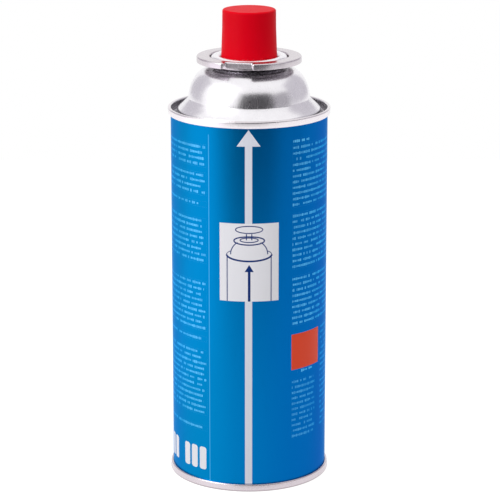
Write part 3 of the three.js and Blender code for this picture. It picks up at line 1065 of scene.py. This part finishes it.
def weld_tree():
    """Geometry Nodes that set flattened weld nuggets along the side seam."""
    tree, given = growing_tree("weld_line", {
        "Strip": "Geometry", "Nuggets": "Int", "Foot": "Vector", "Pitch": "Vector", "Size": "Vector",
        "Finish": "Material",
    }, "Weld")
    links = {"Count": given["Nuggets"], "Start Location": given["Foot"], "Offset": given["Pitch"]}
    line = added(tree, "GeometryNodeMeshLine", links)
    nugget = added(tree, "GeometryNodeMeshIcoSphere", values={"Radius": 1.0, "Subdivisions": 2})
    links = {"Points": line["Mesh"], "Instance": nugget["Mesh"], "Scale": given["Size"]}
    spread = added(tree, "GeometryNodeInstanceOnPoints", links)
    both = tree.nodes.new("GeometryNodeJoinGeometry")
    for part in (spread["Instances"], given["Strip"]):
        tree.links.new(part, both.inputs["Geometry"])
    real = added(tree, "GeometryNodeRealizeInstances", {"Geometry": both.outputs["Geometry"]})
    return finished(tree, real["Geometry"], given, "Weld")


def side_seam():
    """The lapped edge of the body sheet at the back, with its line of weld nuggets."""
    foot_z = seam_height - lap_margin
    head_z = can_height - foot_z
    heights = (foot_z, foot_z + hold, head_z - hold, head_z)
    corners = []
    for height in heights:
        for degrees, rise in zip(lap_degrees, lap_rises):
            turn = math.radians(degrees)
            reach = body_radius + rise
            corners.append((reach * math.sin(turn) * MM, reach * math.cos(turn) * MM, height * MM))
    around = len(lap_degrees)
    count = around * len(heights)
    faces = [tuple(reversed(range(around))), tuple(range(count - around, count))]
    for low in range(0, count - around, around):
        for i in range(around):
            after = (i + 1) % around
            faces.append((low + i, low + after, low + around + after, low + around + i))
    strip = bpy.data.meshes.new("lapped_edge")
    strip.from_pydata(corners, [], faces)
    outward(strip)
    nuggets = round((head_z - foot_z) / weld_pitch)
    piece = grown("side_seam", strip, weld_tree(), {
        "Nuggets": nuggets,
        "Foot": (0, (body_radius + nugget_lift) * MM, foot_z * MM),
        "Pitch": (0, 0, (head_z - foot_z) / nuggets * MM),
        "Size": (nugget_half_width * MM, nugget_half_depth * MM, nugget_half_height * MM),
        "Finish": finishes["bright_tinplate"],
    })
    return placed(piece, "canister")


for make in (printed_wall, foot_end, top_end, side_seam, mounting_cup, notched_ring, stem, red_cap):
    make()

inner_finishes = {
    "cup_gasket": "black_rubber",
    "stem_gasket": "black_rubber",
    "pick_up_tube": "natural_plastic",
    "valve_housing": "natural_plastic",
    "stem_spring": "spring_steel",
}
for node, finish in inner_finishes.items():
    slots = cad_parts[node].data.materials
    slots.clear()
    slots.append(finishes[finish])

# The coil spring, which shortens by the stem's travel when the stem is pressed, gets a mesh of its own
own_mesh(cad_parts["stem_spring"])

# Camera at the photograph's viewing angle
camera_data = bpy.data.cameras.new("camera")
camera_data.lens = 161.82
camera_data.sensor_width = 36.0
camera_data.shift_x = 0.0017
camera_data.clip_start = 0.05
camera_data.clip_end = 50.0
camera = new_object("camera", camera_data)
camera.location = (0.0, -0.92488, 0.34522)
camera.rotation_euler = (math.radians(74.963), 0.0, 0.0)
bpy.context.scene.camera = camera

# Studio round the canister's middle, in metres. Azimuth 0 is the front and grows to the right
middle = Vector((0.0, 0.0, 0.1))

# Lamps as (name, azimuth, elevation, distance, width, height, power, mirrored in metal or not)
lamps = (
    ("key", -58, 28, 1.1, 0.6, 0.9, 7.0, True),
    ("fill", 60, 20, 1.3, 0.6, 0.8, 3.0, False),
    ("top", 0, 82, 1.1, 0.9, 0.9, 4.2, False),
)

# Upright cards as (name, distance, corners as azimuth and elevation, grey)
upright_cards = (
    ("camera_card", 1.05, ((-23, -7), (48, -7), (44, 33), (-15, 33)), 0.06),
    ("window_side", 1.2, ((46, -7), (84, -7), (84, 26), (44, 28)), 0.4),
    ("left_card", 1.4, ((-150, -2), (-100, -2), (-100, 40), (-150, 40)), 0.6),
    ("right_card", 1.4, ((85, -2), (150, -2), (150, 40), (85, 40)), 0.6),
)

# Level cards as (name, height, corners as x and y, grey)
level_cards = (
    ("table_left", 0.002, ((-1.3, -0.42), (-0.26, -0.42), (-0.14, 0.1), (-1.3, 0.1)), 1.45),
    ("table_front", -0.003, ((-0.28, -0.42), (0.16, -0.42), (1.0, -0.75), (-1.1, -0.75)), 0.26),
    ("table_far", -0.003, ((-1.1, -0.75), (1.0, -0.75), (1.4, -2.0), (-1.4, -2.0)), 0.2),
)
card_tint = (1.0, 0.97, 1.04)

# Floor and surroundings, with the levels of light that rays see in them
floor_corners = ((-0.8, -0.42), (0.8, -0.42), (0.8, 0.6), (-0.8, 0.6))
floor_grey = (0.32, 0.32, 0.32, 1)
floor_level = 0.86
world_level = 0.38
white = (1, 1, 1, 1)


def towards(azimuth, elevation, distance):
    """A place round the canister."""
    turn = math.radians(azimuth)
    rise = math.radians(elevation)
    level = math.cos(rise)
    return middle + distance * Vector((math.sin(turn) * level, -math.cos(turn) * level, math.sin(rise)))


def lamp(name, azimuth, elevation, distance, width, height, power, mirrored):
    """A soft rectangular lamp that faces the canister, mirrored in its metal or not."""
    data = bpy.data.lights.new(name, "AREA")
    data.shape = "RECTANGLE"
    data.size = width
    data.size_y = height
    data.energy = power
    light = new_object(name, data)
    light.location = towards(azimuth, elevation, distance)
    light.rotation_euler = (light.location - middle).to_track_quat("Z", "Y").to_euler()
    light.visible_camera = False
    light.visible_glossy = mirrored


def cleared(owner):
    """The empty node tree of a material or a world."""
    owner.use_nodes = True
    owner.node_tree.nodes.clear()
    return owner.node_tree


def studio_sheet(name, corners, material):
    """A flat sheet for the studio, which is no part of the canister."""
    mesh = bpy.data.meshes.new(name)
    mesh.from_pydata([tuple(corner) for corner in corners], [], [(0, 1, 2, 3)])
    mesh.materials.append(material)
    sheet = new_object(name, mesh)
    return sheet


def card(name, corners, grey):
    """A grey card of even brightness that shows only in reflections."""
    material = bpy.data.materials.new(name)
    tree = cleared(material)
    colour = (*(grey * tint for tint in card_tint), 1)
    light = added(tree, "ShaderNodeEmission", values={"Color": colour})
    added(tree, "ShaderNodeOutputMaterial", {"Surface": light["Emission"]})
    sheet = studio_sheet(name, corners, material)
    sheet.visible_camera = False
    sheet.visible_diffuse = False
    sheet.visible_transmission = False
    sheet.visible_shadow = False


def seen_rays(tree):
    """1 for rays that see a surface directly, mirrored or through something clear, otherwise 0."""
    rays = added(tree, "ShaderNodeLightPath")
    seen = rays["Is Camera Ray"]
    for other in ("Is Glossy Ray", "Is Transmission Ray"):
        seen = added(tree, "ShaderNodeMath", {0: seen, 1: rays[other]}, operation="MAXIMUM")[0]
    return seen


def pale_floor():
    """A plain pale floor. Camera and mirror rays also see its paleness as light, and it keeps shadows."""
    material = bpy.data.materials.new("floor")
    tree = cleared(material)
    level = added(tree, "ShaderNodeMath", {0: seen_rays(tree)}, {1: floor_level}, operation="MULTIPLY")
    looks = {"Base Color": floor_grey, "Roughness": 0.9, "Emission Color": white}
    surface = added(tree, "ShaderNodeBsdfPrincipled", {"Emission Strength": level[0]}, looks)
    added(tree, "ShaderNodeOutputMaterial", {"Surface": surface["BSDF"]})
    studio_sheet("floor", [(x, y, 0) for x, y in floor_corners], material)


def white_world():
    """White behind the canister and in its reflections, and a plain level of light from all round."""
    world = bpy.data.worlds.new("studio")
    bpy.context.scene.world = world
    tree = cleared(world)
    levels = {"To Min": world_level, "To Max": 1.0}
    level = added(tree, "ShaderNodeMapRange", {"Value": seen_rays(tree)}, levels)
    sky = added(tree, "ShaderNodeBackground", {"Strength": level["Result"]}, {"Color": white})
    added(tree, "ShaderNodeOutputWorld", {"Surface": sky["Background"]})


for settings in lamps:
    lamp(*settings)
for name, distance, corners, grey in upright_cards:
    card(name, [towards(azimuth, elevation, distance) for azimuth, elevation in corners], grey)
for name, height, corners, grey in level_cards:
    card(name, [(x, y, height) for x, y in corners], grey)
pale_floor()
white_world()

bpy.context.scene.view_settings.view_transform = "Standard"
